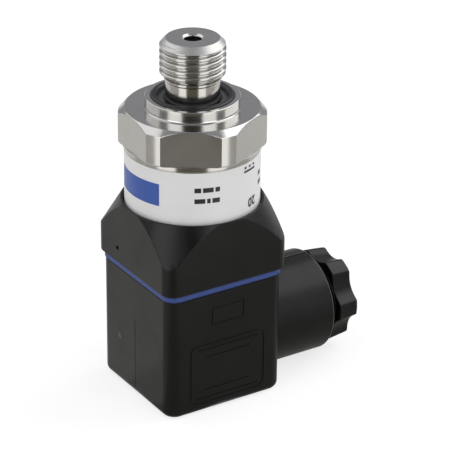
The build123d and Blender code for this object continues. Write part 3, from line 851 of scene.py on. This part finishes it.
def make_gland_rim_highlight():
    """A painted highlight along the rounded rim of the gland's mouth: a ring a little paler than the plug.
    """
    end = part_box("plug_housing")[1].x
    offset = GLAND_RIM_ROUNDING + RIM_PROUD - RIM_RADIUS
    middle = GLAND_RADIUS - GLAND_RIM_ROUNDING + offset * cos(RIM_BEARING)
    station = end - GLAND_RIM_ROUNDING + offset * sin(RIM_BEARING)
    section = [
        (middle + RIM_RADIUS * cos(turned), station + RIM_RADIUS * sin(turned))
        for turned in even_angles(RIM_SEGMENTS)
    ]
    piece = turn("gland_rim_highlight", lambda angle: section, even_angles(RIM_STEPS))
    piece.data.materials.append(RIM_HIGHLIGHT_PLASTIC)
    lay_on_gland(piece.data)
    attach(piece, "sensor")


# Marks of the mould on the plug, and a painted shadow beside the parting line

def make_strip(name, points, material):
    """A low strip with softened edges, from the four corners of one end and the four of the other."""
    faces = [(0, 1, 2, 3), (7, 6, 5, 4), (0, 4, 5, 1), (1, 5, 6, 2), (2, 6, 7, 3), (3, 7, 4, 0)]
    mesh = new_mesh(name, points, faces)
    mesh.materials.append(material)
    piece = add_object(name, mesh)
    bevel = piece.modifiers.new("edges", "BEVEL")
    bevel.width = MARK_EDGE
    bake(piece)
    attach(piece, "sensor")


def make_side_ridge():
    """The low ridge up the side away from the gland, where the mould's halves met."""
    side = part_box("plug_housing")[0].x
    half = RIDGE_WIDTH / 2
    root = side + MARK_ROOT
    crest = side - RIDGE_PROUD
    outline = ((root, -half), (crest, -half), (crest, half), (root, half))
    points = [(x, y, z) for z in (RIDGE_LOW, RIDGE_HIGH) for x, y in outline]
    make_strip("side_ridge", points, BLACK_PLASTIC)


def make_parting_line():
    """The parting line along the gland's top: a low step that runs out sideways, and beside it a dark
    strip that is a painted shadow of a gap.
    """
    half_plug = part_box("plug_housing")[1].y
    ends = (half_plug - MARK_ROOT, PARTING_END)
    crown = GLAND_HEIGHT + GLAND_RADIUS
    root = crown - MARK_ROOT
    far = PARTING_STEP_WIDTH
    near = -PARTING_SHADOW_WIDTH
    behind = crown - far ** 2 / GLAND_RADIUS
    step_top = crown + PARTING_STEP_PROUD
    shadow_top = crown + PARTING_SHADOW_PROUD
    step = ((0, root), (0, step_top), (far, behind), (far, behind - MARK_ROOT))
    gap_shadow = ((near, root), (near, shadow_top), (0, shadow_top), (0, root))
    make_strip("gland_step", [(x, y, z) for x in ends for y, z in step], BLACK_PLASTIC)
    make_strip("gland_gap_shadow", [(x, y, z) for x in ends for y, z in gap_shadow], PAINTED_SHADOW_PLASTIC)


def make_ejector_mark():
    """The pale round mark that one of the mould's ejectors left on the side with the ridge."""
    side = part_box("plug_housing")[0].x
    work = bmesh.new()
    bmesh.ops.create_uvsphere(
        work, u_segments=EJECTOR_SEGMENTS, v_segments=EJECTOR_RINGS, radius=EJECTOR_RADIUS
    )
    mesh = bpy.data.meshes.new("ejector_mark")
    work.to_mesh(mesh)
    work.free()
    flattened = Matrix.Diagonal((EJECTOR_PROUD / EJECTOR_RADIUS, 1, 1, 1))
    mesh.transform(Matrix.Translation((side, *EJECTOR_PLACE)) @ flattened)
    smooth(mesh)
    mesh.materials.append(PALE_PLASTIC)
    mark = add_object("ejector_mark", mesh)
    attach(mark, "sensor")


# Print on the label

def print_radius():
    """The print's distance from the axis, just proud of the label."""
    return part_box("label")[1].x + PRINT_LIFT


def print_block(name, start, end, low, high, ink):
    """A plain printed patch on the label, from one bearing to another and one height to another."""
    radius = print_radius()
    steps = max(2, round(abs(end - start) / PRINT_STEP))
    points = []
    for step in range(steps + 1):
        bearing = radians(start + (end - start) * step / steps)
        points.extend((radius * cos(bearing), radius * sin(bearing), height) for height in (low, high))
    faces = [(2 * step, 2 * step + 2, 2 * step + 3, 2 * step + 1) for step in range(steps)]
    mesh = new_mesh(name, points, faces)
    smooth(mesh)
    mesh.materials.append(ink)
    piece = add_object(name, mesh)
    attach(piece, "sensor")


def print_number():
    """A plain number on the label, which reads with the stud down."""
    curve = bpy.data.curves.new("plain_number", "FONT")
    curve.body = NUMBER
    curve.size = NUMBER_SIZE
    curve.offset = NUMBER_BOLDNESS
    curve.align_x = "CENTER"
    curve.align_y = "CENTER"
    flat = add_object("plain_number_flat", curve)
    mesh = bpy.data.meshes.new_from_object(flat.evaluated_get(bpy.context.evaluated_depsgraph_get()))
    bpy.data.objects.remove(flat)
    radius = print_radius()
    for vertex in mesh.vertices:
        across, up, _ = vertex.co
        bearing = radians(NUMBER_BEARING) - across / radius
        vertex.co = (radius * cos(bearing), radius * sin(bearing), NUMBER_HEIGHT - up)
    mesh.materials.clear()
    mesh.materials.append(BLACK_INK)
    piece = add_object("plain_number", mesh)
    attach(piece, "sensor")


def make_label_print():
    print_block("blue_block", *BLUE_BLOCK, BLUE_INK)
    print_block("sign_bar", *SIGN_BAR, BLACK_INK)
    for index, (start, end) in enumerate(SIGN_DOTS, 1):
        print_block(f"sign_dot_{index}", start, end, *SIGN_DOTS_LEVEL, BLACK_INK)
    for row, (height, bars) in enumerate(BAR_ROWS, 1):
        low = height - BAR_HEIGHT / 2
        high = height + BAR_HEIGHT / 2
        for index, (start, end) in enumerate(bars, 1):
            print_block(f"bar_{row}_{index}", start, end, low, high, BLACK_INK)
    print_number()


# Solids that keep their CAD shape

def dress_copy(node, material, edge=PLUG_EDGE, sharp=SHARP_ANGLE):
    """A copy of a CAD node with its loose triangles joined and its sharp edges slightly rounded."""
    work = bmesh.new()
    work.from_mesh(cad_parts[node].data)
    bmesh.ops.remove_doubles(work, verts=work.verts, dist=MERGE_DISTANCE)
    bmesh.ops.dissolve_limit(work, angle_limit=FLAT_ANGLE, verts=work.verts, edges=work.edges)
    mesh = bpy.data.meshes.new(node + "_dressed")
    work.to_mesh(mesh)
    work.free()
    mesh.materials.clear()
    mesh.materials.append(material)
    smooth(mesh)
    piece = add_object(node + "_dressed", mesh)
    bevel = piece.modifiers.new("edges", "BEVEL")
    bevel.width = edge
    bevel.segments = EDGE_SEGMENTS
    bevel.limit_method = "ANGLE"
    bevel.angle_limit = sharp
    weighted = piece.modifiers.new("flat_faces", "WEIGHTED_NORMAL")
    weighted.weight = FLAT_FACE_WEIGHT
    weighted.keep_sharp = False
    bake(piece)
    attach(piece, "sensor")
    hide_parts(node)


def dress_cad_nodes():
    """Gives each CAD node that stays its material."""
    for material, nodes in CAD_MATERIALS.items():
        for node in nodes:
            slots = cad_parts[node].data.materials
            slots.clear()
            slots.append(material)


# Stage

def away(azimuth, elevation):
    """The direction from the object to a place at an azimuth and an elevation."""
    return Vector((sin(azimuth) * cos(elevation), -cos(azimuth) * cos(elevation), sin(elevation)))


def make_camera():
    level = Vector((cos(CAMERA_AZIMUTH), sin(CAMERA_AZIMUTH), 0))
    back = away(CAMERA_AZIMUTH, CAMERA_ELEVATION)
    above = back.cross(level)
    right = level * cos(CAMERA_ROLL) + above * sin(CAMERA_ROLL)
    up = above * cos(CAMERA_ROLL) - level * sin(CAMERA_ROLL)
    place = Vector((0, 0, CAMERA_AIM_HEIGHT)) + level * CAMERA_AIM_SHIFT + back * CAMERA_DISTANCE
    data = bpy.data.cameras.new("camera")
    data.lens = CAMERA_LENS
    data.sensor_width = CAMERA_SENSOR
    data.clip_start = CAMERA_CLIP_START
    camera = add_object("camera", data)
    camera.matrix_world = Matrix.Translation(place) @ Matrix((right, up, back)).transposed().to_4x4()
    bpy.context.scene.camera = camera


def make_lamp(name, azimuth, elevation, size, watts):
    """A soft lamp, placed by its direction from the object."""
    direction = away(radians(azimuth) + CAMERA_AZIMUTH, radians(elevation))
    data = bpy.data.lights.new(name, "AREA")
    data.shape = "RECTANGLE"
    data.size, data.size_y = size
    data.energy = watts
    lamp = add_object(name, data)
    lamp.location = Vector(LAMP_AIM) + direction * LAMP_DISTANCE
    lamp.rotation_euler = (-direction).to_track_quat("-Z", "Y").to_euler()


def glossy_only(name, corners, color):
    """A plain lit sheet that only reflections show, which gives bare steel dark and bright streaks."""
    mesh = new_mesh(name, corners, [range(len(corners))])
    material, _, shader = new_material(name)
    shader.inputs["Base Color"].default_value = (0, 0, 0, 1)
    shader.inputs["Roughness"].default_value = 1.0
    shader.inputs["Specular IOR Level"].default_value = 0.0
    shader.inputs["Emission Color"].default_value = (*color, 1)
    shader.inputs["Emission Strength"].default_value = 1.0
    mesh.materials.append(material)
    card = add_object(name, mesh)
    card.visible_camera = False
    card.visible_diffuse = False
    card.visible_shadow = False


def stage_place(azimuth, distance, height):
    """A place on the stage, at an azimuth from the camera's and a distance from the sensor's axis."""
    bearing = radians(azimuth) + CAMERA_AZIMUTH
    return distance * sin(bearing), -distance * cos(bearing), height


def make_card(name, start, end, color, near, far):
    """A card that lies on the floor from one azimuth to another, and from one distance to another."""
    azimuths = [start + (end - start) * step / CARD_STEPS for step in range(CARD_STEPS + 1)]
    inner = [stage_place(azimuth, near, CARD_HEIGHT) for azimuth in azimuths]
    outer = [stage_place(azimuth, far, CARD_HEIGHT) for azimuth in reversed(azimuths)]
    glossy_only(name, inner + outer, color)


def make_screen():
    """The dark side of the studio behind the camera."""
    low, high = (SCREEN_DISTANCE * tan(radians(elevation)) for elevation in (SCREEN_LOW, SCREEN_HIGH))
    outline = ((-SCREEN_SPAN, low), (SCREEN_SPAN, low), (SCREEN_SPAN, high), (-SCREEN_SPAN, high))
    corners = [stage_place(azimuth, SCREEN_DISTANCE, height) for azimuth, height in outline]
    glossy_only("camera_screen", corners, SCREEN_COLOR)


def make_floor():
    """A pale paper floor: lit for the object's shadow, and partly plain white, as in a light box."""
    corners = [(x * FLOOR_HALF, y * FLOOR_HALF, 0) for x, y in ((-1, -1), (1, -1), (1, 1), (-1, 1))]
    mesh = new_mesh("floor", corners, [(0, 1, 2, 3)])
    material, wiring, shader = new_material("floor_paper")
    shader.inputs["Base Color"].default_value = (*FLOOR_COLOR, 1)
    shader.inputs["Roughness"].default_value = FLOOR_ROUGHNESS
    paths = wiring.node("ShaderNodeLightPath").outputs
    seen = wiring.math("MAXIMUM", paths["Is Camera Ray"], paths["Is Glossy Ray"])
    seen = wiring.math("MAXIMUM", seen, paths["Is Transmission Ray"])
    white = wiring.node("ShaderNodeEmission")
    white.inputs["Strength"].default_value = FLOOR_WHITE
    mix = wiring.node("ShaderNodeMixShader")
    wiring.feed(mix.inputs[0], wiring.math("MULTIPLY", seen, FLOOR_WHITE_SHARE))
    wiring.feed(mix.inputs[1], shader.outputs[0])
    wiring.feed(mix.inputs[2], white.outputs[0])
    wiring.feed(material.node_tree.nodes["Material Output"].inputs["Surface"], mix.outputs[0])
    mesh.materials.append(material)
    add_object("floor", mesh)


def make_stage():
    """A pale floor, a plain grey world, cards for the steel's reflections, and large soft lamps."""
    scene = bpy.context.scene
    scene.view_settings.view_transform = "Standard"
    world = bpy.data.worlds.new("studio")
    world.use_nodes = True
    background = world.node_tree.nodes["Background"].inputs
    background["Color"].default_value = (*WORLD_COLOR, 1)
    background["Strength"].default_value = 1.0
    scene.world = world
    make_floor()
    for card in NEAR_CARDS:
        make_card(*card, CARD_NEAR, CARD_MIDDLE)
    for card in FAR_CARDS:
        make_card(*card, CARD_MIDDLE, CARD_FAR)
    make_screen()
    for lamp in LAMPS:
        make_lamp(*lamp)


make_camera()
make_stage()
thread_cutter = thread_tree()
make_process_connection(thread_cutter)
make_gland_nut(thread_cutter)
dress_copy("profile_seal", SEAL_RUBBER)
dress_copy("label", LABEL_FILM, edge=LABEL_EDGE)
make_label_print()
dress_copy("connector_base", BLACK_PLASTIC, edge=BASE_EDGE, sharp=BASE_SHARP_ANGLE)
dress_copy("profile_gasket", BLUE_RUBBER_PAINTED_SHADE, edge=GASKET_EDGE)
dress_copy("plug_housing", BLACK_PLASTIC)
make_gland_rim_highlight()
make_side_ridge()
make_parting_line()
make_ejector_mark()
dress_cad_nodes()
